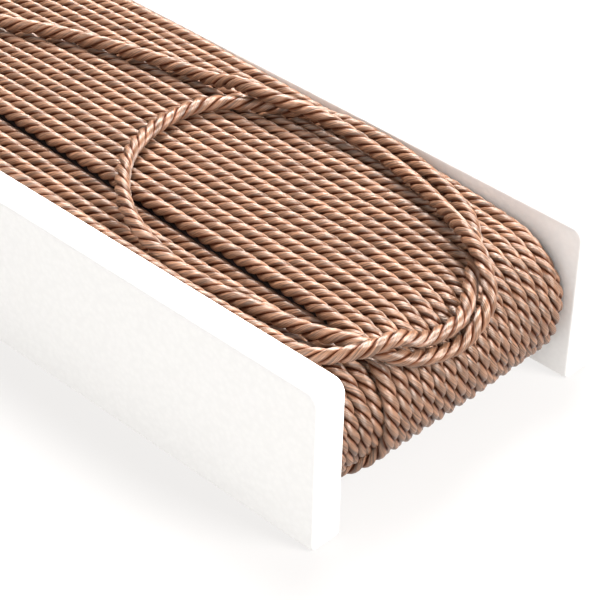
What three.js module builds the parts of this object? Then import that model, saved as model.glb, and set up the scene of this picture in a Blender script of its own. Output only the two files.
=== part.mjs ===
// Decorative three-strand twisted cord, wound lengthwise between two foam sides,
// with its free end lying on top as a loose oval of two laps.
// Millimetres, +Z up. The origin is under the middle, on the surface it stands on.
// +X runs along the sides, to the end where the loose oval lies.
import * as THREE from 'three';

// The two foam sides
const SIDE_LENGTH = 330;
const SIDE_HEIGHT = 50;
const SIDE_THICK = 10;
const SIDE_GAP = 92;
const SIDE_TOP_CORNER = 4;
const SIDE_FOOT_CORNER = 1.5;
const SIDE_EDGE = 1.2;

// The wound cord
const CORD_D = 4.5;
const CLEAR = 0.3;
const LAYER_RISE = 3.9;
const END_RADIUS = 20.8;
const AXIS_HEIGHT = 25.5;
const NEAR_CENTRE_X = 145.5;
const FAR_CENTRE_X = -(NEAR_CENTRE_X - (CORD_D - LAYER_RISE));
const SWELL_TOP = 3.6;
const SWELL_FOOT = 3;
const SWELL_RUN = 130;
const GROOVE_DEPTH = 1.9;
const SHOULDER_DROP = 0.33;
const SHOULDER_SHARE = 0.53;

// The top layer's turns, counted from the front side
const TOP_TURNS = 16;
const FIRST_TURN_Y = -22.6;
const TURN_PITCH = 4.53;
const CROWDED_FROM = 11;
const CROWDING = 0.11;
const FIRST_TURN_END_Y = -27.35;
const TURN_END_PITCH = 4.37;
const LAST_TURN_RISE = 0.7;
const INSET_FROM = 8;
const INSET_PER_TURN = 0.12;
const BACK_EDGE_GAP = 0.4;

// How far before and after the near end's tangent the turns lean towards the front
const LEAN_BEFORE = 32;
const LEAN_AFTER = 36;

// The lower layer's turns that show in the strip beside the front side
const LOW_TURNS = 5;
const FIRST_LOW_Y = -43.7;
const LOW_PITCH = 4.5;
const CHANNEL_DEPTH = 1.5;
const FOLD = 0.1;

// The last turn lies on the lower layer against the front side, and lifts off here
const LAST_TURN_Y = -43.4;
const LIFT_X = 104.5;
const LIFT_WALL = 0.1;
const UNDER_RAMP = 0.7;

// Centreline of the loose cord: out of the last turn, two laps of an oval, and back to the far half
const CORD_SIDES = 10;
const CORD_STEPS = 80;
const CORD_SECTION_R = 2.15;
const CORD_ROUTE = [
  [104.9, -43.4, 45.3],
  [131, -42.7, 45.4],
  [149.3, -40.9, 46.2],
  [158.2, -33.3, 48.7],
  [160.9, -23.9, 49],
  [162, -12.9, 43.9],
  [162.3, -0.8, 43.7],
  [153.9, 13.6, 47.1],
  [141.6, 27.3, 49.7],
  [123.2, 36.7, 49],
  [101.1, 41.2, 49.5],
  [81.4, 40, 50.1],
  [68.2, 34, 50.4],
  [58.3, 27.1, 50.9],
  [50.4, 18, 51.4],
  [48.4, 3.1, 51.4],
  [53.6, -14.8, 51.4],
  [65.3, -28.9, 50.3],
  [81.3, -37.6, 49.1],
  [97.9, -38.7, 45.8],
  [119, -36.9, 45],
  [140.7, -33.7, 45.6],
  [153.7, -29.7, 46.7],
  [161.1, -24, 43.3],
  [163.8, -14.6, 39.9],
  [165, -1.1, 38.9],
  [163.6, 8.9, 45.1],
  [155.9, 14.6, 51.7],
  [145.3, 19.7, 53],
  [133.4, 26.8, 50],
  [116.7, 32.7, 49.3],
  [96.7, 36.3, 49.6],
  [77.7, 34.5, 52.9],
  [64.4, 28.9, 55.3],
  [54.3, 27.4, 55.5],
  [41.6, 27.5, 52],
  [21.3, 22.9, 52.3],
  [-6.7, 13.6, 52.4],
  [-29.2, 3.5, 52.4],
  [-51.5, -2.5, 51.7],
];

// White pebbled foam
function foamMaterial() {
  return new THREE.MeshStandardMaterial({ color: 0xf4f3f0, roughness: 0.85, metalness: 0 });
}

// Satin rayon, dusty rose
function satinMaterial() {
  return new THREE.MeshStandardMaterial({ color: 0xb58468, roughness: 0.45, metalness: 0 });
}

function smooth(t) {
  const u = THREE.MathUtils.clamp(t, 0, 1);
  return u * u * (3 - 2 * u);
}

// One foam side, drawn along X and Z and extruded across Y, its outline inset by the soft edge
function sideGeometry() {
  const halfX = SIDE_LENGTH / 2 - SIDE_EDGE;
  const foot = SIDE_EDGE;
  const top = SIDE_HEIGHT - SIDE_EDGE;
  const rTop = SIDE_TOP_CORNER - SIDE_EDGE;
  const rFoot = SIDE_FOOT_CORNER - SIDE_EDGE;
  const outline = new THREE.Shape();
  outline.moveTo(-halfX + rFoot, foot);
  outline.lineTo(halfX - rFoot, foot);
  outline.absarc(halfX - rFoot, foot + rFoot, rFoot, -Math.PI / 2, 0);
  outline.lineTo(halfX, top - rTop);
  outline.absarc(halfX - rTop, top - rTop, rTop, 0, Math.PI / 2);
  outline.lineTo(-halfX + rTop, top);
  outline.absarc(-halfX + rTop, top - rTop, rTop, Math.PI / 2, Math.PI);
  outline.lineTo(-halfX, foot + rFoot);
  outline.absarc(-halfX + rFoot, foot + rFoot, rFoot, Math.PI, 1.5 * Math.PI);
  const geometry = new THREE.ExtrudeGeometry(outline, {
    depth: SIDE_THICK - 2 * SIDE_EDGE,
    bevelEnabled: true,
    bevelSize: SIDE_EDGE,
    bevelThickness: SIDE_EDGE,
    bevelSegments: 3,
    curveSegments: 6,
  });
  geometry.rotateX(Math.PI / 2);
  geometry.translate(0, SIDE_THICK / 2 - SIDE_EDGE, 0);
  return geometry;
}

function side(name, direction) {
  const mesh = new THREE.Mesh(sideGeometry(), foamMaterial());
  mesh.name = name;
  mesh.position.y = direction * (SIDE_GAP / 2 + SIDE_THICK / 2);
  return mesh;
}

// How much the middle of the winding bulges past its ends
function swell(x) {
  return smooth((SWELL_RUN - Math.abs(x)) / SWELL_RUN);
}

// The stations of the path round the winding: where each one is, which way is outwards,
// how far the turns lean there and how high the last turn stands
function stations() {
  const list = [];
  const topXs = [-120, -95, -70, -45, -20, 5, 30, 55, 80, LIFT_X - LIFT_WALL, LIFT_X, 114, 124, 134];
  const leanRun = LEAN_BEFORE + LEAN_AFTER;
  list.push({ x: FAR_CENTRE_X, dx: 0, dz: 1, lift: 0, lean: 0, last: 1 });
  for (const x of topXs) {
    const lean = smooth((x - NEAR_CENTRE_X + LEAN_BEFORE) / leanRun);
    list.push({ x, dx: 0, dz: 1, lift: SWELL_TOP * swell(x), lean, last: x < LIFT_X ? 1 : 0 });
  }
  const nearSteps = 13;
  for (let i = 0; i <= nearSteps; i++) {
    const angle = (Math.PI * i) / nearSteps;
    const lean = smooth((angle * END_RADIUS + LEAN_BEFORE) / leanRun);
    const last = smooth(angle / Math.PI / (1 - UNDER_RAMP) - UNDER_RAMP / (1 - UNDER_RAMP));
    list.push({ x: NEAR_CENTRE_X, dx: Math.sin(angle), dz: Math.cos(angle), lift: 0, lean, last });
  }
  const footSteps = 8;
  for (let i = 1; i < footSteps; i++) {
    const x = THREE.MathUtils.lerp(NEAR_CENTRE_X, FAR_CENTRE_X, i / footSteps);
    const lift = -SWELL_FOOT * swell(x);
    list.push({ x, dx: 0, dz: -1, lift, lean: 1 - smooth(i / footSteps), last: 1 });
  }
  const farSteps = 12;
  for (let i = 0; i < farSteps; i++) {
    const angle = Math.PI * (1 + i / farSteps);
    list.push({ x: FAR_CENTRE_X, dx: Math.sin(angle), dz: Math.cos(angle), lift: 0, lean: 0, last: 1 });
  }
  return list;
}

// Where turn k of the top layer lies at a lean of 0 (on top) to 1 (at the near end)
function turnY(k, lean) {
  const crowd = CROWDING * Math.max(0, k - CROWDED_FROM) ** 2;
  const onTop = FIRST_TURN_Y + TURN_PITCH * k - crowd;
  const atEnd = FIRST_TURN_END_Y + TURN_END_PITCH * k;
  return THREE.MathUtils.lerp(onTop, atEnd, lean);
}

// The radius of turn k's crest
function turnCrest(k, lean) {
  const raised = k === TOP_TURNS - 1 ? LAST_TURN_RISE * (1 - lean) : 0;
  return END_RADIUS + raised - INSET_PER_TURN * Math.max(0, k - INSET_FROM) * lean;
}

// The section across the winding at one station: places along Y with the radius of the surface
function section(station) {
  const half = CORD_D / 2;
  const shoulder = half * SHOULDER_SHARE;
  const edgeY = SIDE_GAP / 2 - CLEAR;
  const lowCrest = END_RADIUS - LAYER_RISE;
  const lastCrest = THREE.MathUtils.lerp(lowCrest, lowCrest + CORD_D, station.last);
  const wallY = turnY(0, station.lean) - half;
  const points = [];
  points.push([-edgeY, lastCrest - GROOVE_DEPTH]);
  points.push([LAST_TURN_Y - shoulder, lastCrest - SHOULDER_DROP]);
  points.push([LAST_TURN_Y, lastCrest]);
  points.push([LAST_TURN_Y + shoulder, lastCrest - SHOULDER_DROP]);
  points.push([LAST_TURN_Y + half, lastCrest - GROOVE_DEPTH]);
  points.push([LAST_TURN_Y + half + FOLD, lowCrest - GROOVE_DEPTH]);
  for (let j = 1; j < LOW_TURNS; j++) {
    const y = FIRST_LOW_Y + LOW_PITCH * j;
    points.push([y - shoulder, lowCrest - SHOULDER_DROP]);
    points.push([y, lowCrest]);
    points.push([y + shoulder, lowCrest - SHOULDER_DROP]);
    points.push([y + LOW_PITCH / 2, lowCrest - GROOVE_DEPTH]);
  }
  // What the first turn of the top layer covers is pushed together under its edge
  points.forEach((point, i) => {
    point[0] = Math.min(point[0], wallY - FOLD * (points.length - i));
  });
  points[points.length - 1][1] = lowCrest - CHANNEL_DEPTH;
  const firstCrest = turnCrest(0, station.lean);
  points.push([wallY, firstCrest - GROOVE_DEPTH]);
  for (let k = 0; k < TOP_TURNS; k++) {
    const y = turnY(k, station.lean);
    const crest = turnCrest(k, station.lean);
    const isLast = k === TOP_TURNS - 1;
    const pastLast = Math.min(y + CORD_D, 2 * edgeY - y - BACK_EDGE_GAP);
    const next = isLast ? pastLast : turnY(k + 1, station.lean);
    points.push([y - shoulder, crest - SHOULDER_DROP]);
    points.push([y, crest]);
    points.push([y + shoulder * ((next - y) / CORD_D), crest - SHOULDER_DROP]);
    points.push([(y + next) / 2, crest - GROOVE_DEPTH]);
  }
  points.push([edgeY, lowCrest - GROOVE_DEPTH]);
  return points;
}

// The wound cord as one closed solid: the sections joined round the path, with a flat face at each side
function windingGeometry() {
  const path = stations();
  const rows = path.map(section);
  const across = rows[0].length;
  const positions = [];
  path.forEach((station, i) => {
    for (const [y, radius] of rows[i]) {
      const z = AXIS_HEIGHT + station.dz * radius + station.lift;
      positions.push(station.x + station.dx * radius, y, z);
    }
  });
  const front = positions.length / 3;
  positions.push(0, rows[0][0][0], AXIS_HEIGHT);
  positions.push(0, rows[0][across - 1][0], AXIS_HEIGHT);
  const faces = [];
  for (let i = 0; i < path.length; i++) {
    const a = i * across;
    const b = ((i + 1) % path.length) * across;
    for (let j = 0; j < across - 1; j++) {
      faces.push(a + j, b + j, b + j + 1, a + j, b + j + 1, a + j + 1);
    }
    faces.push(front, b, a);
    faces.push(front + 1, a + across - 1, b + across - 1);
  }
  const geometry = new THREE.BufferGeometry();
  geometry.setAttribute('position', new THREE.Float32BufferAttribute(positions, 3));
  geometry.setIndex(faces);
  geometry.computeVertexNormals();
  return geometry;
}

function winding() {
  const mesh = new THREE.Mesh(windingGeometry(), satinMaterial());
  mesh.name = 'winding';
  return mesh;
}

// The loose cord, a round section swept along its route
function looseCord() {
  const route = CORD_ROUTE.map(([x, y, z]) => new THREE.Vector3(x, y, z));
  const ring = [];
  for (let i = 0; i < CORD_SIDES; i++) {
    const angle = (2 * Math.PI * i) / CORD_SIDES;
    ring.push(new THREE.Vector2(Math.cos(angle), Math.sin(angle)).multiplyScalar(CORD_SECTION_R));
  }
  const geometry = new THREE.ExtrudeGeometry(new THREE.Shape(ring), {
    steps: CORD_STEPS,
    bevelEnabled: false,
    extrudePath: new THREE.CatmullRomCurve3(route, false, 'centripetal'),
  });
  const mesh = new THREE.Mesh(geometry, satinMaterial());
  mesh.name = 'loose_cord';
  return mesh;
}

const trim = new THREE.Group();
trim.add(side('flange_front', -1), side('flange_back', 1), winding(), looseCord());

export default trim;
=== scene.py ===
import math

import bmesh
import bpy
import numpy as np
from mathutils import Matrix, Vector


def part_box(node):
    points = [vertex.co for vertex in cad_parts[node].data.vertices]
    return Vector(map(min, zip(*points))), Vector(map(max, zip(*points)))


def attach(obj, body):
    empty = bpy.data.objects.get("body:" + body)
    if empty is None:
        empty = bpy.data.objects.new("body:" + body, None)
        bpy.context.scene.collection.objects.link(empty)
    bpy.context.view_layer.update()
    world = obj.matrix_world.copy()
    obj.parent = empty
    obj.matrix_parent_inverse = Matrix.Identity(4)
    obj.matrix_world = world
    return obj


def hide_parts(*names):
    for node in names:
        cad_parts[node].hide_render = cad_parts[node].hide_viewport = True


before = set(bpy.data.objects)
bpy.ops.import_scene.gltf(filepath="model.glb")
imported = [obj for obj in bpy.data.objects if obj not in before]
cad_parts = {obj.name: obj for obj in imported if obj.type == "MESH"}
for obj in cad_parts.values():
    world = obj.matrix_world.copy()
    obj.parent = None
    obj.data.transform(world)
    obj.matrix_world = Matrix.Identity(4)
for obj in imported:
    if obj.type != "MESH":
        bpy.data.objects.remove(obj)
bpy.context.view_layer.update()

bl_info = {
    "name": "Twisted Cord on a Foam Former",
    "version": (1, 0, 0),
    "blender": (4, 5, 0),
    "location": "3D View > Sidebar > Cord",
    "description": "Satin twisted cord wound lengthwise between two foam sides, its free end loose on top",
    "category": "Add Mesh",
}

# The CAD model's box, and the winding's sizes that its solid is built to, in metres
END_RADIUS = 0.0208
AXIS_HEIGHT = 0.0255
NEAR_CENTRE_X = 0.1455
FAR_CENTRE_X = -0.1449
LAYER_RISE = 0.0039
SWELL_TOP = 0.0036
SWELL_FOOT = 0.003
SWELL_RUN = 0.13

# The top layer's turns, counted from the front side, and how they lean at the near end
TOP_TURNS = 16
FIRST_TURN_Y = -0.0226
TURN_PITCH = 0.00453
CROWDED_FROM = 11
CROWDING = 0.00011
FIRST_TURN_END_Y = -0.02735
TURN_END_PITCH = 0.00437
LAST_TURN_RISE = 0.0007
INSET_FROM = 8
INSET_PER_TURN = 0.00012
LEAN_BEFORE = 0.032
LEAN_AFTER = 0.036

# The lower layer's turns in the strip beside the front side, and the one at the back edge
LOW_TURNS = 5
FIRST_LOW_Y = -0.0437
LOW_PITCH = 0.0045
BACK_ROW_Y = 0.0432
LOW_END_RISE = 0.0012

# The last turn crosses the near end's foot to the front side, and lifts off the winding again
LAST_TURN_Y = -0.0434
CROSSING_FROM = math.radians(112)
CROSSING_TO = math.radians(200)
LIFT_X = 0.1045
LIFT_RUN = 0.02

# Centreline of the loose cord, as in the part's source: out of the last turn, two laps of an
# oval, and back to the far half
CORD_ROUTE = [
    (0.1049, -0.0434, 0.0453), (0.131, -0.0427, 0.0454), (0.1493, -0.0409, 0.0462),
    (0.1582, -0.0333, 0.0487), (0.1609, -0.0239, 0.049), (0.162, -0.0129, 0.0439),
    (0.1623, -0.0008, 0.0437), (0.1539, 0.0136, 0.0471), (0.1416, 0.0273, 0.0497),
    (0.1232, 0.0367, 0.049), (0.1011, 0.0412, 0.0495), (0.0814, 0.04, 0.0501),
    (0.0682, 0.034, 0.0504), (0.0583, 0.0271, 0.0509), (0.0504, 0.018, 0.0514),
    (0.0484, 0.0031, 0.0514), (0.0536, -0.0148, 0.0514), (0.0653, -0.0289, 0.0503),
    (0.0813, -0.0376, 0.0491), (0.0979, -0.0387, 0.0458), (0.119, -0.0369, 0.045),
    (0.1407, -0.0337, 0.0456), (0.1537, -0.0297, 0.0467), (0.1611, -0.024, 0.0433),
    (0.1638, -0.0146, 0.0399), (0.165, -0.0011, 0.0389), (0.1636, 0.0089, 0.0451),
    (0.1559, 0.0146, 0.0517), (0.1453, 0.0197, 0.053), (0.1334, 0.0268, 0.05),
    (0.1167, 0.0327, 0.0493), (0.0967, 0.0363, 0.0496), (0.0777, 0.0345, 0.0529),
    (0.0644, 0.0289, 0.0553), (0.0543, 0.0274, 0.0555), (0.0416, 0.0275, 0.052),
    (0.0213, 0.0229, 0.0523), (-0.0067, 0.0136, 0.0524), (-0.0292, 0.0035, 0.0524),
    (-0.0515, -0.0025, 0.0517),
]

# Past the solid's end the free end is tucked in between two turns, which part there. The turns
# next to them make room too, the less the further off they are, counted in turns
TUCK = [(-0.0565, -0.0029, 0.0507), (-0.0625, -0.0026, 0.0478), (-0.069, -0.0025, 0.0444)]
TUCK_X = -0.062
TUCK_RUN = 0.012
TUCK_BETWEEN = 4.5
TUCK_PARTING = 0.0016
TUCK_REACH = 2.2

# How the cord is laid: three strands, and how finely a turn is divided
STRANDS = 3
STRAND_SIDES = 9
RINGS_PER_LAY = 12
ROUTE_STEP = 0.0011

# A strand's section in shares of the cord's radius: where its middle lies, how far it reaches in
# and out from there and to each side, and how far its corners gather on the outside
STRAND_MIDDLE = 0.535
STRAND_REACH = 0.465
STRAND_BREADTH = 0.555
STRAND_GATHER = 0.3

# The marks that a strand carries are in millimetres. A strand is longer than its cord, and longer
# round than across, and each one's marks start elsewhere, so that no two look alike
MILLIMETRES = 1000
STRAND_SLANT = 1.15
STRAND_ROUNDNESS = 1.2
MARKS_APART = 37

# The lays over which the cord goes from one lay to another
LAYS_TO_CHANGE = 3

# The angle that once_round gives for the whole of the far end, past any on the foot, and the
# upward share of the outward direction that only the level top passes
FAR_END = 100.0
LEVEL_TOP = 0.99

# A turn's unevenness: its size outwards and across, the length of its main wave, and the share,
# rate and shift of each of its waves. It fades out at both ends, so that turns meet
WAVER_OUT = 0.00004
WAVER_ACROSS = 0.00007
WAVER_LENGTH = 0.047
WAVER_SHIFT = 2.4
WAVES = [(1.0, 1.0, 0), (0.7, 0.37, 1), (0.5, 1.9, -1)]
WAVER_FADE = 0.01

# The numbers that tell the turns' unevenness apart. The top layer's are the turns' own
LOW_START_SEED = 29
FIRST_LOW_SEED = 30
LAST_RUN_SEED = 50
ACROSS_SEED = 0.5

# How many turns each piece of the top layer holds, from the feeding turn at the back edge
TURNS_PER_PIECE = (5, 4, 4, 4)

# The inner layers are two bodies that stay under the turns that show, within their outer edges
LOWER_BODY_UNDER = 0.0006
LOWER_BODY_EDGE = 0.0455
UPPER_BODY_UNDER = 0.0009
UPPER_BODY_FRONT = 0.0005
UPPER_BODY_BACK = 0.0003
BODY_SIDES = 48
BODY_CUTS = 15

# The foam sides' rounded edges, in segments
TOP_SEGMENTS = 8
FOOT_SEGMENTS = 4
RUBBED_SEGMENTS = 5

# Edges are picked by their direction: one that reaches less than this along an axis is across it
LEAST_LENGTH = 0.001

# What the camera and the lights point at, and each light's name, place, size and watts
CAMERA_TARGET = (0.1104, -0.00542, 0.025)
LIGHT_TARGET = (0.08, 0, 0.03)
SENSOR_WIDTH = 36
SOFTBOXES = [
    ("softbox_back", (-0.3, 0.5, 1.15), 0.6, 52),
    ("softbox_right", (1.05, 0.35, 0.8), 0.5, 35),
    ("softbox_front", (0.4, -1.05, 0.9), 1.2, 13),
]
ROOM_WHITE = (1.0, 0.985, 0.97, 1.0)
FLOOR_SIZE = 3
FLOOR_GLOW = 0.79

# The light from the room's walls, from overhead, and the height, as a share, where walls end
WALL_LIGHT = 0.6
OVERHEAD_LIGHT = 0.08
WALL_TOP = 0.45

# The sockets of a colour mix, which share their names with others
MIX_FIRST = 6
MIX_SECOND = 7
MIX_RESULT = 2


# Colours

def to_linear(hex_colour):
    """The linear red, green and blue of an sRGB colour such as #b58468."""
    values = [int(hex_colour[i:i + 2], 16) / 255 for i in (1, 3, 5)]
    return [v / 12.92 if v <= 0.04045 else ((v + 0.055) / 1.055) ** 2.4 for v in values]


def with_alpha(colour):
    return (*colour[:3], 1.0)


def toned(colour, share):
    """The colour, that many times as light."""
    return [min(1, value * share) for value in colour]


# Settings

def size_property(name, description, default):
    return bpy.props.FloatProperty(
        name=name, description=description, default=default, unit="LENGTH", precision=5
    )


def colour_property(name, description, hex_colour):
    return bpy.props.FloatVectorProperty(
        name=name, description=description, default=to_linear(hex_colour),
        subtype="COLOR", size=3, min=0, max=1,
    )


class CordSettings(bpy.types.PropertyGroup):
    """The three-strand cord."""

    diameter: size_property("Diameter", "Across the cord's crests", 0.0045)
    lay: size_property("Lay", "Length of one whole twist where the cord is wound tight", 0.01342)
    loose_lay: size_property("Loose lay", "Length of one whole twist of the loose end", 0.0142)
    satin: colour_property("Satin", "The strands where the light falls on them", "#785641")
    # The shade colour is painted shade, which the satin runs to deep between the strands
    shade: colour_property("Shade", "The strands deep between their neighbours", "#4a2412")
    # The inner layers' colour is painted shade: they are drawn near black, as they only show in shade
    inner: colour_property("Inner layers", "The layers under the turns that show", "#1c0d08")


class FoamSettings(bpy.types.PropertyGroup):
    """The two foam sides."""

    top_corner: size_property("Top corner", "Radius of the sides' top corners", 0.004)
    foot_corner: size_property("Foot corner", "Radius of the sides' foot corners", 0.0015)
    edge: size_property("Edge", "Radius of the long edges, rubbed soft", 0.0012)
    bead: size_property("Bead", "Size of the foam's beads", 0.0016)
    white: colour_property("Foam", "The foam", "#f4f3f1")


class StageSettings(bpy.types.PropertyGroup):
    """The camera, the lights and the floor."""

    lens: bpy.props.FloatProperty(
        name="Lens", description="Focal length in millimetres", default=132.4, subtype="DISTANCE_CAMERA"
    )
    azimuth: bpy.props.FloatProperty(
        name="Azimuth", description="Camera's turn round the part",
        default=math.radians(43.18), subtype="ANGLE",
    )
    elevation: bpy.props.FloatProperty(
        name="Elevation", description="Camera's height angle", default=math.radians(36.01), subtype="ANGLE"
    )
    roll: bpy.props.FloatProperty(
        name="Roll", description="Camera's tilt to one side", default=math.radians(1.76), subtype="ANGLE"
    )
    distance: size_property("Distance", "From the camera to the point it looks at", 0.6015)
    floor: colour_property("Floor", "The pale floor", "#565453")


# Nodes

def add_node(tree, kind, settings=None, links=None):
    """A node of that kind with its settings. links maps its input to a value or another node's output."""
    node = tree.nodes.new(kind)
    for name, value in (settings or {}).items():
        setattr(node, name, value)
    for name, value in (links or {}).items():
        if isinstance(value, bpy.types.NodeSocket):
            tree.links.new(value, node.inputs[name])
        else:
            node.inputs[name].default_value = value
    return node


def new_material(name):
    """An empty node material, with its tree and its output node."""
    material = bpy.data.materials.new(name)
    material.use_nodes = True
    material.node_tree.nodes.clear()
    output = add_node(material.node_tree, "ShaderNodeOutputMaterial")
    return material, material.node_tree, output


def run_between(ramp, start, first, end, second):
    """The colour output of a ramp node, once it runs from the first colour to the second."""
    stops = ramp.color_ramp.elements
    for stop, position, colour in ((stops[0], start, first), (stops[1], end, second)):
        stop.position = position
        stop.color = with_alpha(colour)
    return ramp.outputs["Color"]


def satin_rayon(name, colour, shade):
    """Rayon satin cord: bright filament yarn twisted into three smooth strands.
    The filaments lie along each strand, so the gloss is soft and streaked. Deep between the strands
    the colour runs to the shade colour and the gloss is tinted dark: painted shade. Real filaments
    are 0.02 mm, and are drawn 0.35 mm to show. The IOR is a little above rayon's 1.53, because
    light also comes back from inside the filaments."""
    filaments_per_mm = 2.9
    streaks_per_mm = 0.1
    filament_slant = math.radians(-8)
    material, tree, output = new_material(name)
    place = add_node(tree, "ShaderNodeAttribute", {"attribute_name": "strand_place"})
    filaments = add_node(tree, "ShaderNodeMapping", {"vector_type": "POINT"}, {
        "Vector": place.outputs["Vector"],
        "Rotation": (0, 0, filament_slant),
        "Scale": (streaks_per_mm, filaments_per_mm, 1),
    })
    streaks = add_node(tree, "ShaderNodeTexNoise", {"noise_dimensions": "2D"}, {
        "Vector": filaments.outputs["Vector"], "Scale": 1.0, "Detail": 1.5, "Roughness": 0.5,
    })
    satin_ramp = add_node(tree, "ShaderNodeValToRGB", links={"Fac": streaks.outputs["Fac"]})
    satin = run_between(satin_ramp, 0.35, toned(colour, 0.42), 0.65, toned(colour, 1.6))
    # The third mark is the share of the way out from the cord's axis
    way_out = add_node(tree, "ShaderNodeSeparateXYZ", links={"Vector": place.outputs["Vector"]})
    # deepness is 1 deep between the strands and 0 on the crests, and mixes in the painted shade
    deepness = add_node(tree, "ShaderNodeMapRange", {"interpolation_type": "SMOOTHSTEP"}, {
        "Value": way_out.outputs["Z"], "From Min": 0.6, "From Max": 0.96, "To Min": 1.0, "To Max": 0.0,
    })
    # Painted shade: the satin runs to the shade colour deep between the strands
    satin_and_painted_shade = add_node(tree, "ShaderNodeMix", {"data_type": "RGBA"}, {
        "Factor": deepness.outputs["Result"], MIX_FIRST: satin, MIX_SECOND: with_alpha(shade),
    })
    # Painted shade on the gloss: its tint runs from cream on the crests to dark copper deep between the
    # strands
    gloss_shade_ramp = add_node(tree, "ShaderNodeValToRGB", links={"Fac": deepness.outputs["Result"]})
    gloss = run_between(gloss_shade_ramp, 0.0, to_linear("#fff6ec"), 1.0, to_linear("#b16a45"))
    bump = add_node(tree, "ShaderNodeBump", links={
        "Height": streaks.outputs["Fac"], "Strength": 1.0, "Distance": 0.0004,
    })
    along = add_node(tree, "ShaderNodeAttribute", {"attribute_name": "strand_direction"})
    shader = add_node(tree, "ShaderNodeBsdfPrincipled", links={
        "Base Color": satin_and_painted_shade.outputs[MIX_RESULT],
        "Roughness": 0.45,
        "IOR": 1.6,
        "Specular IOR Level": 1.0,
        "Specular Tint": gloss,
        "Anisotropic": 0.95,
        "Anisotropic Rotation": 0.25,
        "Tangent": along.outputs["Vector"],
        "Normal": bump.outputs["Normal"],
    })
    tree.links.new(shader.outputs["BSDF"], output.inputs["Surface"])
    return material


def shaded_rayon(colour):
    """The same rayon in the layers beneath, which only shows between the turns, drawn near black there
    as painted shade. Its grain is a strand's, a little over 1 mm."""
    grains_per_metre = 900.0
    material, tree, output = new_material("rayon_inner_layers_painted_shade")
    place = add_node(tree, "ShaderNodeTexCoord")
    grain = add_node(tree, "ShaderNodeTexNoise", links={
        "Vector": place.outputs["Object"], "Scale": grains_per_metre, "Detail": 2.0,
    })
    ramp = add_node(tree, "ShaderNodeValToRGB", links={"Fac": grain.outputs["Fac"]})
    tone = run_between(ramp, 0.35, toned(colour, 0.6), 0.65, colour)
    shader = add_node(tree, "ShaderNodeBsdfPrincipled", links={
        "Base Color": tone, "Roughness": 0.7, "IOR": 1.53, "Specular IOR Level": 0.2,
    })
    tree.links.new(shader.outputs["BSDF"], output.inputs["Surface"])
    return material


def bead_foam(colour, bead):
    """Expanded polystyrene board, cut with a hot wire: matt white, with the closed beads just
    showing as a fine pebbled grain."""
    grits_per_bead = 3
    material, tree, output = new_material("expanded_polystyrene_foam")
    place = add_node(tree, "ShaderNodeTexCoord")
    beads = add_node(tree, "ShaderNodeTexVoronoi", {"feature": "SMOOTH_F1"}, {
        "Vector": place.outputs["Object"], "Scale": 1 / bead, "Smoothness": 0.6,
    })
    grit = add_node(tree, "ShaderNodeTexNoise", links={
        "Vector": place.outputs["Object"], "Scale": grits_per_bead / bead, "Detail": 3.0, "Roughness": 0.6,
    })
    height = add_node(tree, "ShaderNodeMath", {"operation": "MULTIPLY_ADD"}, {
        0: grit.outputs["Fac"], 1: 0.4, 2: beads.outputs["Distance"],
    })
    ramp = add_node(tree, "ShaderNodeValToRGB", links={"Fac": beads.outputs["Distance"]})
    tone = run_between(ramp, 0.1, colour, 0.75, toned(colour, 0.965))
    bump = add_node(tree, "ShaderNodeBump", links={
        "Height": height.outputs["Value"], "Strength": 0.12, "Distance": 0.0004,
    })
    shader = add_node(tree, "ShaderNodeBsdfPrincipled", links={
        "Base Color": tone, "Roughness": 0.8, "IOR": 1.5, "Specular IOR Level": 0.25,
        "Subsurface Weight": 0.08, "Subsurface Radius": (0.004, 0.004, 0.004),
        "Normal": bump.outputs["Normal"],
    })
    tree.links.new(shader.outputs["BSDF"], output.inputs["Surface"])
    return material


def opal_table(colour):
    """Opal acrylic sheet, the lit table of a small studio: white, glowing a little from below, and
    mottled very faintly, about 170 mm from spot to spot."""
    mottles_per_metre = 6.0
    material, tree, output = new_material("opal_acrylic_table")
    place = add_node(tree, "ShaderNodeTexCoord")
    mottle = add_node(tree, "ShaderNodeTexNoise", links={
        "Vector": place.outputs["Object"], "Scale": mottles_per_metre, "Detail": 1.0,
    })
    ramp = add_node(tree, "ShaderNodeValToRGB", links={"Fac": mottle.outputs["Fac"]})
    tone = run_between(ramp, 0.3, toned(colour, 0.985), 0.7, colour)
    shader = add_node(tree, "ShaderNodeBsdfPrincipled", links={
        "Base Color": tone, "Roughness": 0.9, "Specular IOR Level": 0.1,
        "Emission Color": ROOM_WHITE, "Emission Strength": FLOOR_GLOW,
    })
    tree.links.new(shader.outputs["BSDF"], output.inputs["Surface"])
    return material


# Shapes that several pieces share

def smooth(t):
    u = np.clip(t, 0, 1)
    return u * u * (3 - 2 * u)


def blend(a, b, share):
    return a + (b - a) * share


def swell(x):
    """How much the middle of the winding bulges past its ends, from 0 to 1."""
    return smooth((SWELL_RUN - np.abs(x)) / SWELL_RUN)


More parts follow.
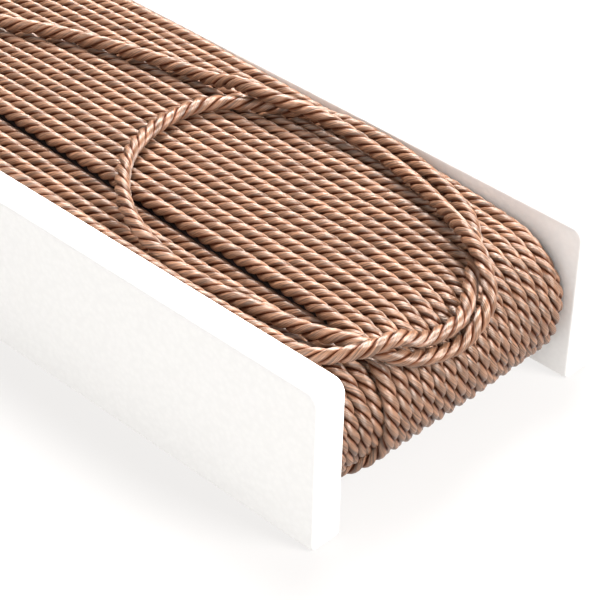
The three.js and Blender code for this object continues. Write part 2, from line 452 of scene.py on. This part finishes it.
def once_round():
    """The way once round the winding, from the far end's top: for each step its x, the outward
    direction in x and z, the bulge, the angle round the near end, which grows on along the foot,
    the share of the foot that is passed, and the lean."""
    run = NEAR_CENTRE_X - FAR_CENTRE_X
    along = np.linspace(0, 1, round(run / ROUTE_STEP), endpoint=False)
    near_bend = math.pi * np.linspace(0, 1, round(math.pi * END_RADIUS / ROUTE_STEP), endpoint=False)
    far_bend = np.append(near_bend, math.pi)
    top_x = FAR_CENTRE_X + run * along
    top_lift = SWELL_TOP * swell(top_x)
    foot_lift = -SWELL_FOOT * swell(top_x)[::-1]
    foot_angle = math.pi + run * along / END_RADIUS

    def stretch(*values):
        """One stretch of the way: its values in the order of the names below."""
        return np.stack(np.broadcast_arrays(*values))

    way = dict(zip(("x", "dx", "dz", "lift", "angle", "foot"), np.hstack([
        stretch(top_x, 0, 1, top_lift, 0, 0),
        stretch(NEAR_CENTRE_X, np.sin(near_bend), np.cos(near_bend), 0, near_bend, 0),
        stretch(top_x[::-1], 0, -1, foot_lift, foot_angle, along),
        stretch(FAR_CENTRE_X, -np.sin(far_bend), -np.cos(far_bend), 0, FAR_END, 1),
    ])))
    past = way["x"] - NEAR_CENTRE_X + way["angle"] * END_RADIUS
    after_near = way["angle"] >= math.pi
    way["lean"] = np.where(after_near, 1, smooth((past + LEAN_BEFORE) / (LEAN_BEFORE + LEAN_AFTER)))
    return way


def waver(seed, along, size):
    """A slow, small unevenness along one turn."""
    angle = along / WAVER_LENGTH * 2 * math.pi + seed * WAVER_SHIFT
    return size * sum(share * np.sin(rate * angle + shift * seed) for share, rate, shift in WAVES)


def turn_y(k):
    """Where turn k of the top layer lies on top."""
    return FIRST_TURN_Y + TURN_PITCH * k - CROWDING * max(0, k - CROWDED_FROM) ** 2


def end_y(k):
    """Where turn k of the top layer lies once it has leant over at the near end."""
    return FIRST_TURN_END_Y + TURN_END_PITCH * k


def axis_radius(k, lean, half):
    raised = LAST_TURN_RISE * (1 - lean) if k == TOP_TURNS - 1 else 0
    return END_RADIUS + raised - INSET_PER_TURN * np.maximum(0, k - INSET_FROM) * lean - half


def route_round(way, y, radius, seed):
    """Points and outward directions along the way, at those places across and that far out."""
    along = np.arange(len(y)) * ROUTE_STEP
    fade = smooth(np.minimum(along, along[-1] - along) / WAVER_FADE)
    out = radius + fade * waver(seed, along, WAVER_OUT)
    points = np.stack([
        way["x"] + way["dx"] * out,
        y + fade * waver(seed + ACROSS_SEED, along, WAVER_ACROSS),
        AXIS_HEIGHT + way["dz"] * out + way["lift"],
    ], axis=1)
    return points, np.stack([way["dx"], np.zeros(len(y)), way["dz"]], axis=1)


def parted(k, y, way):
    """The turns on both sides of the tuck stand a little apart there."""
    side = math.copysign(1, k - TUCK_BETWEEN)
    nearness = math.exp(-((k - TUCK_BETWEEN) / TUCK_REACH) ** 2)
    here = np.exp(-((way["x"] - TUCK_X) / TUCK_RUN) ** 2) * (way["dz"] > LEVEL_TOP)
    return y + side * nearness * TUCK_PARTING * here


def top_turn(k, half):
    """One turn of the top layer, which arrives at its next neighbour's place. Turn 0 crosses
    the near end's foot and becomes the last turn."""
    way = once_round()
    lean, foot = way["lean"], smooth(way["foot"])
    y = blend(turn_y(k), end_y(k), lean)
    radius = axis_radius(k, lean, half)
    if k > 0:
        y = blend(y, turn_y(k - 1), foot)
        radius = blend(radius, axis_radius(k - 1, 0, half), foot)
    else:
        crossed = smooth((way["angle"] - CROSSING_FROM) / (CROSSING_TO - CROSSING_FROM))
        y = blend(y, LAST_TURN_Y, crossed)
        radius = blend(radius, END_RADIUS - LAYER_RISE + half, crossed)
    return route_round(way, parted(k, y, way), radius, k)


def feeding_turn(half):
    """The lower layer's last turn at the back edge, which climbs along the foot to the top layer."""
    way = once_round()
    foot = smooth(way["foot"])
    last = TOP_TURNS - 1
    y = blend(BACK_ROW_Y, turn_y(last), foot)
    radius = blend(END_RADIUS - LAYER_RISE - half, axis_radius(last, 0, half), foot)
    return route_round(way, y, radius, TOP_TURNS)


def low_turn(j, half):
    """One turn of the lower layer beside the front side, which arrives at its neighbour's place."""
    way = once_round()
    y = blend(FIRST_LOW_Y + LOW_PITCH * j, FIRST_LOW_Y + LOW_PITCH * (j + 1), smooth(way["foot"]))
    slack = smooth(way["angle"] / (math.pi / 2)) * (1 - smooth(way["foot"]))
    radius = END_RADIUS - LAYER_RISE - half + LOW_END_RISE * slack
    return route_round(way, y, radius, FIRST_LOW_SEED + j)


def low_start(half):
    """The lower layer's first turn, which comes up beside the front side along the foot."""
    way = once_round()
    under = LAYER_RISE * (1 - smooth(way["foot"]))
    y = np.full(len(under), FIRST_LOW_Y)
    radius = END_RADIUS - LAYER_RISE - half - under
    points, outward = route_round(way, y, radius, LOW_START_SEED)
    shows = way["angle"] >= math.pi
    return points[shows], outward[shows]


def last_run(half):
    """The last turn's stretch on top, on the lower layer against the front side."""
    way = once_round()
    y = np.full(len(way["x"]), LAST_TURN_Y)
    radius = END_RADIUS - LAYER_RISE + half
    points, outward = route_round(way, y, radius, LAST_RUN_SEED)
    on_top = (way["dz"] > LEVEL_TOP) & (way["x"] < LIFT_X) & (way["angle"] == 0)
    points, outward = points[on_top], outward[on_top]
    exit_point = np.array(CORD_ROUTE[0])
    share = smooth((points[:, 0] - LIFT_X + LIFT_RUN) / LIFT_RUN)[:, None]
    points[:, 1:] = blend(points[:, 1:], exit_point[1:], share)
    return np.vstack([points, exit_point]), np.vstack([outward, outward[-1]])


def smooth_route(places):
    """A centripetal spline through the places, as fine as the cord's rings."""
    places = np.array(places)
    padded = np.vstack([2 * places[0] - places[1], places, 2 * places[-1] - places[-2]])
    pieces = []
    for a, b, c, d in zip(padded, padded[1:], padded[2:], padded[3:]):
        t0, t1, t2 = (math.sqrt(np.linalg.norm(q - p)) for p, q in ((a, b), (b, c), (c, d)))
        leave = ((b - a) / t0 - (c - a) / (t0 + t1) + (c - b) / t1) * t1
        arrive = ((c - b) / t1 - (d - b) / (t1 + t2) + (d - c) / t2) * t1
        steps = max(2, round(np.linalg.norm(c - b) / ROUTE_STEP))
        u = np.linspace(0, 1, steps, endpoint=False)[:, None]
        pieces.append(
            b + leave * u + (-3 * b + 3 * c - 2 * leave - arrive) * u ** 2
            + (2 * b - 2 * c + leave + arrive) * u ** 3
        )
    return np.vstack([*pieces, places[-1]])


def carried_frame(points, first):
    """A direction across the route at each point, turned no more than the route itself turns."""
    tangents = np.gradient(points, axis=0)
    tangents /= np.linalg.norm(tangents, axis=1)[:, None]
    across = [np.array(first, float)]
    for tangent in tangents:
        turned = across[-1] - tangent * np.dot(across[-1], tangent)
        across.append(turned / np.linalg.norm(turned))
    return np.array(across[1:])


# The cord

def span(edge):
    """How far an edge reaches along X, Y and Z."""
    first, last = edge.verts
    return Vector([abs(a - b) for a, b in zip(first.co, last.co)])


def strand_ring(bm, n, x):
    """A ring of strand n's section at that place along X, round outside and flattened where the
    neighbours press on it. Returns its edges."""
    ring = bmesh.ops.create_circle(bm, segments=STRAND_SIDES, radius=1)["verts"]
    for v in ring:
        angle = math.atan2(v.co.x, v.co.y)
        angle -= STRAND_GATHER * math.sin(angle)
        v.co.x = x
        v.co.y = STRAND_MIDDLE + STRAND_REACH * math.cos(angle)
        v.co.z = STRAND_BREADTH * math.sin(angle)
    turn = Matrix.Rotation(2 * math.pi * n / STRANDS, 3, "X")
    bmesh.ops.rotate(bm, verts=ring, cent=(0, 0, 0), matrix=turn)
    return [e for e in bm.edges if e.verts[0] in ring]


def straight_strands(rings):
    """Three strands side by side, untwisted, from 0 to 1 along X, round the axis at a radius of
    about 1. Bridged rings come in the same order each run, which extruded ones don't."""
    bm = bmesh.new()
    for n in range(STRANDS):
        ends = strand_ring(bm, n, 0) + strand_ring(bm, n, 1)
        bmesh.ops.bridge_loops(bm, edges=ends)
    lengthwise = [e for e in bm.edges if span(e).x > LEAST_LENGTH]
    bmesh.ops.subdivide_edges(bm, edges=lengthwise, cuts=rings - 1, use_grid_fill=True)
    bmesh.ops.recalc_face_normals(bm, faces=bm.faces)
    return bm


def places_of(bm):
    return np.array([v.co[:] for v in bm.verts])


class Laying:
    """Bends lengths of straight strands along routes and twists them, so that the twist runs on
    from one length to the next."""

    def __init__(self, half, lay):
        self.half = half
        self.lay = lay
        self.twist = 0.0
        self.laid = 0.0

    def lay_along(self, straight, points, outward, lay_after=None):
        """Vertices of the twisted cord along the route, for each one its place on its strand, which
        is millimetres along it, millimetres round it and its share of the way out from the axis,
        and the strand's direction there."""
        steps = np.linalg.norm(np.diff(points, axis=0), axis=1)
        distance = np.concatenate([[0], np.cumsum(steps)])
        tangents = np.gradient(points, distance, axis=0)
        tangents /= np.linalg.norm(tangents, axis=1)[:, None]
        out = outward - tangents * np.sum(outward * tangents, axis=1)[:, None]
        out /= np.linalg.norm(out, axis=1)[:, None]
        across = np.cross(tangents, out)
        lays = np.full(len(distance), self.lay)
        if lay_after:
            lays = blend(self.lay, lay_after, smooth(distance / (LAYS_TO_CHANGE * self.lay)))
        turned = np.concatenate([[0], np.cumsum(steps * 2 * math.pi / lays[1:])])
        s = straight[:, 0] * distance[-1]

        def at(values):
            return np.stack([np.interp(s, distance, values[:, i]) for i in range(3)], axis=1)

        radius = np.hypot(straight[:, 1], straight[:, 2])
        own_angle = np.arctan2(straight[:, 2], straight[:, 1])
        angle = own_angle - self.twist - np.interp(s, distance, turned)
        places = at(points) + self.half * radius[:, None] * (
            np.cos(angle)[:, None] * at(out) + np.sin(angle)[:, None] * at(across)
        )
        strand = np.round(own_angle / (2 * math.pi / STRANDS))
        within = own_angle - strand * 2 * math.pi / STRANDS
        along = (s + self.laid) * (STRAND_SLANT * MILLIMETRES) + strand * MARKS_APART
        around = radius * self.half * np.sin(within) * STRAND_ROUNDNESS * MILLIMETRES
        marks = np.stack([along, around, radius], axis=1)
        slope = (self.half * radius * 2 * math.pi / np.interp(s, distance, lays))[:, None]
        directions = at(tangents) + slope * (
            np.sin(angle)[:, None] * at(out) - np.cos(angle)[:, None] * at(across)
        )
        self.twist += turned[-1]
        self.laid += distance[-1]
        return places, marks, directions


def cord_object(name, straight, lengths, material):
    """One object of several laid lengths of the same straight strands."""
    template = bpy.data.meshes.new(name + "_straight")
    straight.to_mesh(template)
    bm = bmesh.new()
    for _ in lengths:
        bm.from_mesh(template)
    mesh = bpy.data.meshes.new(name)
    bm.to_mesh(mesh)
    bm.free()
    bpy.data.meshes.remove(template)
    places, marks, directions = (np.concatenate(parts).astype(np.float32) for parts in zip(*lengths))
    mesh.vertices.foreach_set("co", places.ravel())
    for attribute_name, values in (("strand_place", marks), ("strand_direction", directions)):
        attribute = mesh.attributes.new(attribute_name, "FLOAT_VECTOR", "POINT")
        attribute.data.foreach_set("vector", values.ravel())
    mesh.shade_smooth()
    mesh.materials.append(material)
    mesh.update()
    return placed(mesh)


def placed(mesh):
    """The mesh as an object of the scene, riding on the part."""
    piece = bpy.data.objects.new(mesh.name, mesh)
    bpy.context.scene.collection.objects.link(piece)
    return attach(piece, "root")


def from_bmesh(name, bm, material, smooth_faces=True):
    mesh = bpy.data.meshes.new(name)
    bm.to_mesh(mesh)
    bm.free()
    if smooth_faces:
        mesh.shade_smooth()
    mesh.materials.append(material)
    return placed(mesh)


def joined(shapes):
    """Several shapes as one."""
    whole = bmesh.new()
    for bm in shapes:
        mesh = bpy.data.meshes.new("part")
        bm.to_mesh(mesh)
        bm.free()
        whole.from_mesh(mesh)
        bpy.data.meshes.remove(mesh)
    return whole


def rings_for(length, lay):
    return round(length / lay * RINGS_PER_LAY)


def route_length(points):
    return float(np.linalg.norm(np.diff(points, axis=0), axis=1).sum())


def lay_routes(laying, routes, lay):
    """The straight strands for these routes, and each route's laid length of them."""
    rings = rings_for(route_length(routes[0][0]), lay)
    straight = straight_strands(rings)
    flat = places_of(straight)
    return straight, [laying.lay_along(flat, *route) for route in routes]


# Operators

class CORDTRIM_OT_stage(bpy.types.Operator):
    """Place the camera, the soft lights and the pale floor"""

    bl_idname = "cordtrim.stage"
    bl_label = "Stage"

    def execute(self, context):
        settings = context.scene.cordtrim_stage
        self.camera(context, settings)
        self.floor(settings)
        self.lights(context)
        return {"FINISHED"}

    def camera(self, context, settings):
        a, e, r = settings.azimuth, settings.elevation, settings.roll
        back = Vector((math.sin(a) * math.cos(e), -math.cos(a) * math.cos(e), math.sin(e)))
        level = Vector((0, 0, 1)).cross(back).normalized()
        upright = back.cross(level)
        right = math.cos(r) * level + math.sin(r) * upright
        up = math.cos(r) * upright - math.sin(r) * level
        data = bpy.data.cameras.new("camera")
        data.lens = settings.lens
        data.sensor_width = SENSOR_WIDTH
        camera = bpy.data.objects.new("camera", data)
        context.scene.collection.objects.link(camera)
        turn = Matrix((right, up, back)).transposed().to_4x4()
        place = Vector(CAMERA_TARGET) + back * settings.distance
        camera.matrix_world = Matrix.Translation(place) @ turn
        context.scene.camera = camera

    def floor(self, settings):
        bm = bmesh.new()
        bmesh.ops.create_grid(bm, x_segments=4, y_segments=4, size=FLOOR_SIZE)
        mesh = bpy.data.meshes.new("floor")
        bm.to_mesh(mesh)
        bm.free()
        mesh.materials.append(opal_table(settings.floor))
        floor = bpy.data.objects.new("floor", mesh)
        bpy.context.scene.collection.objects.link(floor)

    def lights(self, context):
        """Light from the room, whose white walls are bright and whose ceiling is dim, and from three
        softboxes."""
        world = bpy.data.worlds.new("white_walled_room")
        world.use_nodes = True
        tree = world.node_tree
        tree.nodes.clear()
        ways = add_node(tree, "ShaderNodeTexCoord")
        height = add_node(tree, "ShaderNodeSeparateXYZ", links={"Vector": ways.outputs["Generated"]})
        wall = add_node(tree, "ShaderNodeMapRange", {"interpolation_type": "SMOOTHSTEP"}, {
            "Value": height.outputs["Z"], "From Min": 0.0, "From Max": WALL_TOP,
            "To Min": WALL_LIGHT, "To Max": OVERHEAD_LIGHT,
        })
        background = add_node(tree, "ShaderNodeBackground", links={
            "Color": ROOM_WHITE, "Strength": wall.outputs["Result"],
        })
        add_node(tree, "ShaderNodeOutputWorld", links={"Surface": background.outputs["Background"]})
        context.scene.world = world
        context.scene.view_settings.view_transform = "Standard"
        for name, place, size, watts in SOFTBOXES:
            self.softbox(name, place, size, watts)

    def softbox(self, name, place, size, watts):
        data = bpy.data.lights.new(name, "AREA")
        data.shape = "SQUARE"
        data.size = size
        data.energy = watts
        lamp = bpy.data.objects.new(name, data)
        bpy.context.scene.collection.objects.link(lamp)
        lamp.location = place
        aim = Vector(LIGHT_TARGET) - Vector(place)
        lamp.rotation_mode = "QUATERNION"
        lamp.rotation_quaternion = aim.to_track_quat("-Z", "Y")


class CORDTRIM_OT_winding(bpy.types.Operator):
    """Lay the turns, the last turn and the loose end as one continuous cord"""

    bl_idname = "cordtrim.winding"
    bl_label = "Cord"

    def execute(self, context):
        settings = context.scene.cordtrim_cord
        half = settings.diameter / 2
        satin = satin_rayon("satin_rayon_cord", settings.satin, settings.shade)
        laying = Laying(half, settings.lay)
        numbers = list(range(TOP_TURNS - 1, -1, -1))
        routes = [feeding_turn(half)] + [top_turn(k, half) for k in numbers]
        straight, lengths = lay_routes(laying, routes, settings.lay)
        first = 0
        for number, turns in enumerate(TURNS_PER_PIECE, 1):
            piece = cord_object(f"wound_turns_{number}", straight, lengths[first:first + turns], satin)
            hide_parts("winding")
            first += turns
        straight, lengths = lay_routes(laying, [last_run(half)], settings.lay)
        piece = cord_object("last_turn", straight, lengths, satin)
        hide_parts("winding")
        self.loose_end(settings, laying, satin)
        return {"FINISHED"}

    def loose_end(self, settings, laying, satin):
        route = smooth_route([*CORD_ROUTE, *TUCK])
        outward = carried_frame(route, (0, 0, 1))
        straight = straight_strands(rings_for(route_length(route), settings.loose_lay))
        laid = laying.lay_along(places_of(straight), route, outward, settings.loose_lay)
        piece = cord_object("loose_end", straight, [laid], satin)
        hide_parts("loose_cord")


class CORDTRIM_OT_lower_layer(bpy.types.Operator):
    """Lay the lower layer's turns that show beside the front side"""

    bl_idname = "cordtrim.lower_layer"
    bl_label = "Lower layer"

    def execute(self, context):
        settings = context.scene.cordtrim_cord
        half = settings.diameter / 2
        satin = bpy.data.materials["satin_rayon_cord"]
        laying = Laying(half, settings.lay)
        turns = [low_turn(j, half) for j in range(LOW_TURNS)]
        for name, routes in (("lower_start", [low_start(half)]), ("lower_turns", turns)):
            straight, lengths = lay_routes(laying, routes, settings.lay)
            piece = cord_object(name, straight, lengths, satin)
            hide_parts("winding")
        return {"FINISHED"}


class CORDTRIM_OT_inner_layers(bpy.types.Operator):
    """Fill the space inside the turns that show with the layers beneath"""

    bl_idname = "cordtrim.inner_layers"
    bl_label = "Inner layers"

    def execute(self, context):
        settings = context.scene.cordtrim_cord
        half = settings.diameter / 2
        lower_radius = END_RADIUS - LAYER_RISE - half - LOWER_BODY_UNDER
        lower = self.body(-LOWER_BODY_EDGE, LOWER_BODY_EDGE, lower_radius, (0, 0))
        last = TOP_TURNS - 1
        front = turn_y(0) - UPPER_BODY_FRONT
        back = turn_y(last) + UPPER_BODY_BACK
        leans = (end_y(0) - turn_y(0), end_y(last) - turn_y(last))
        upper = self.body(front, back, END_RADIUS - half - UPPER_BODY_UNDER, leans)
        # The inner layers are drawn in painted shade
        piece = from_bmesh("inner_layers", joined([lower, upper]), shaded_rayon(settings.inner))
        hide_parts("winding")
        return {"FINISHED"}

    def body(self, front, back, radius, leans):
        """A body with half-round ends between two places across. leans says how far its front and
        back edges lean over at the near end."""
        bm = bmesh.new()
        across = Matrix.Rotation(math.pi / 2, 4, "X")
        bmesh.ops.create_cone(
            bm, cap_ends=True, segments=BODY_SIDES, radius1=radius, radius2=radius, depth=back - front,
            matrix=across,
        )
        half_side = Matrix.Rotation(math.pi / BODY_SIDES, 3, "Y")
        bmesh.ops.rotate(bm, verts=bm.verts, cent=(0, 0, 0), matrix=half_side)
        for v in bm.verts:
            v.co.x += NEAR_CENTRE_X if v.co.x > 0 else FAR_CENTRE_X
            v.co.y += (front + back) / 2
        run = [e for e in bm.edges if span(e).x > NEAR_CENTRE_X]
        bmesh.ops.subdivide_edges(bm, edges=run, cuts=BODY_CUTS)
        for v in bm.verts:
            bulge = SWELL_TOP if v.co.z > 0 else -SWELL_FOOT
            past = v.co.x - NEAR_CENTRE_X
            if past > 0:
                past = math.atan2(past, v.co.z) * END_RADIUS
            share = float(smooth((past + LEAN_BEFORE) / (LEAN_BEFORE + LEAN_AFTER)))
            if v.co.z < 0 and past <= 0:
                share = float(1 - smooth((NEAR_CENTRE_X - v.co.x) / (NEAR_CENTRE_X - FAR_CENTRE_X)))
            v.co.y += share * (leans[0] if v.co.y < (front + back) / 2 else leans[1])
            v.co.z += AXIS_HEIGHT + bulge * float(swell(v.co.x))
        return bm


class CORDTRIM_OT_foam_sides(bpy.types.Operator):
    """Cut the two foam sides, with their rounded corners and rubbed edges"""

    bl_idname = "cordtrim.foam_sides"
    bl_label = "Foam sides"

    def execute(self, context):
        settings = context.scene.cordtrim_foam
        foam = bead_foam(settings.white, settings.bead)
        for node in ("flange_front", "flange_back"):
            piece = from_bmesh(node.replace("flange", "foam_side"), self.side(node, settings), foam)
            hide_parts(node)
        return {"FINISHED"}

    def side(self, node, settings):
        low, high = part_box(node)
        middle = (low + high) / 2
        bm = bmesh.new()
        bmesh.ops.create_cube(bm, size=1)
        bmesh.ops.scale(bm, verts=bm.verts, vec=high - low)
        bmesh.ops.translate(bm, verts=bm.verts, vec=middle)
        crosswise = [e for e in bm.edges if span(e).y > LEAST_LENGTH]
        top = [e for e in crosswise if e.verts[0].co.z > middle.z]
        foot = [e for e in crosswise if e.verts[0].co.z < middle.z]
        self.round_off(bm, top, settings.top_corner, TOP_SEGMENTS)
        self.round_off(bm, foot, settings.foot_corner, FOOT_SEGMENTS)
        rim = [e for e in bm.edges if span(e).y < LEAST_LENGTH]
        self.round_off(bm, rim, settings.edge, RUBBED_SEGMENTS)
        return bm

    def round_off(self, bm, edges, radius, segments):
        bmesh.ops.bevel(
            bm, geom=edges, offset=radius, offset_type="OFFSET", affect="EDGES",
            segments=segments, profile=0.5, material=-1, clamp_overlap=True,
        )


class CORDTRIM_PT_panel(bpy.types.Panel):
    """The part's pieces and sizes"""

    bl_label = "Cord on a foam former"
    bl_idname = "CORDTRIM_PT_panel"
    bl_space_type = "VIEW_3D"
    bl_region_type = "UI"
    bl_category = "Cord"

    def draw(self, context):
        scene = context.scene
        for settings in (scene.cordtrim_cord, scene.cordtrim_foam, scene.cordtrim_stage):
            box = self.layout.box()
            for name in settings.__annotations__:
                box.prop(settings, name)
        for operator in OPERATORS:
            self.layout.operator(operator.bl_idname)


OPERATORS = (
    CORDTRIM_OT_stage,
    CORDTRIM_OT_winding,
    CORDTRIM_OT_lower_layer,
    CORDTRIM_OT_inner_layers,
    CORDTRIM_OT_foam_sides,
)
CLASSES = (CordSettings, FoamSettings, StageSettings, *OPERATORS, CORDTRIM_PT_panel)


def register():
    for each in CLASSES:
        bpy.utils.register_class(each)
    bpy.types.Scene.cordtrim_cord = bpy.props.PointerProperty(type=CordSettings)
    bpy.types.Scene.cordtrim_foam = bpy.props.PointerProperty(type=FoamSettings)
    bpy.types.Scene.cordtrim_stage = bpy.props.PointerProperty(type=StageSettings)


def unregister():
    del bpy.types.Scene.cordtrim_stage
    del bpy.types.Scene.cordtrim_foam
    del bpy.types.Scene.cordtrim_cord
    for each in reversed(CLASSES):
        bpy.utils.unregister_class(each)


def main():
    register()
    bpy.ops.cordtrim.stage()
    bpy.ops.cordtrim.winding()
    bpy.ops.cordtrim.lower_layer()
    bpy.ops.cordtrim.inner_layers()
    bpy.ops.cordtrim.foam_sides()


if __name__ == "__main__":
    main()
